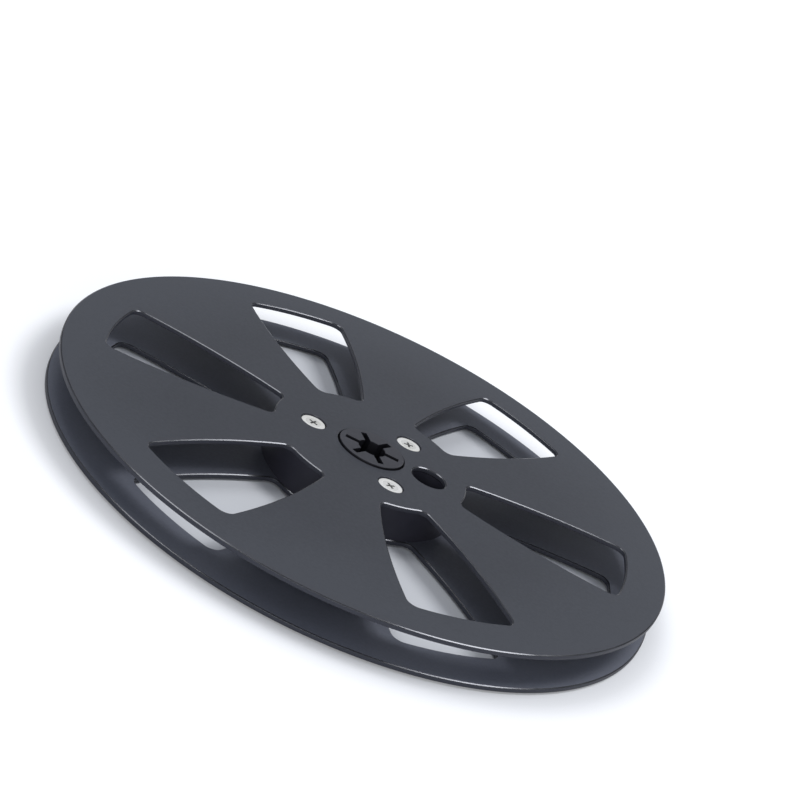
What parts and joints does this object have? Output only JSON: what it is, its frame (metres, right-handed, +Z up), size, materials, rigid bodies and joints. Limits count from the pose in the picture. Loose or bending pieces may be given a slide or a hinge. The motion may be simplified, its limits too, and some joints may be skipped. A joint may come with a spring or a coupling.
{
  "type": "audio tape reel",
  "caption": "Open audio tape reel: two thin black metal flanges with tapered windows, screwed to a hub drum around a slotted spindle core.",
  "frame": {"origin": "centre of the core's lower end face, on the reel's axis, the lowest face of the reel", "axes": "+Z up along the reel's axis, towards the upper flange; +X from the axis through the threading hole and the middle of a window"},
  "size_m": [0.178, 0.178, 0.0128],
  "materials": {
    "anodised_flange": "fine bead-blasted and black anodised, satin, with bright broken edges",
    "hub_plastic": "moulded, dark, satin",
    "core_plastic": "moulded, charcoal, fine satin",
    "screw_zinc": "bright zinc plated"
  },
  "bodies": {
    "root": {"flange_upper": "anodised_flange", "flange_lower": "anodised_flange", "hub_drum": "hub_plastic", "spindle_core": "core_plastic", "screw_upper_1": "screw_zinc", "screw_upper_2": "screw_zinc", "screw_upper_3": "screw_zinc", "screw_lower_1": "screw_zinc", "screw_lower_2": "screw_zinc", "screw_lower_3": "screw_zinc"}
  },
  "joints": []
}
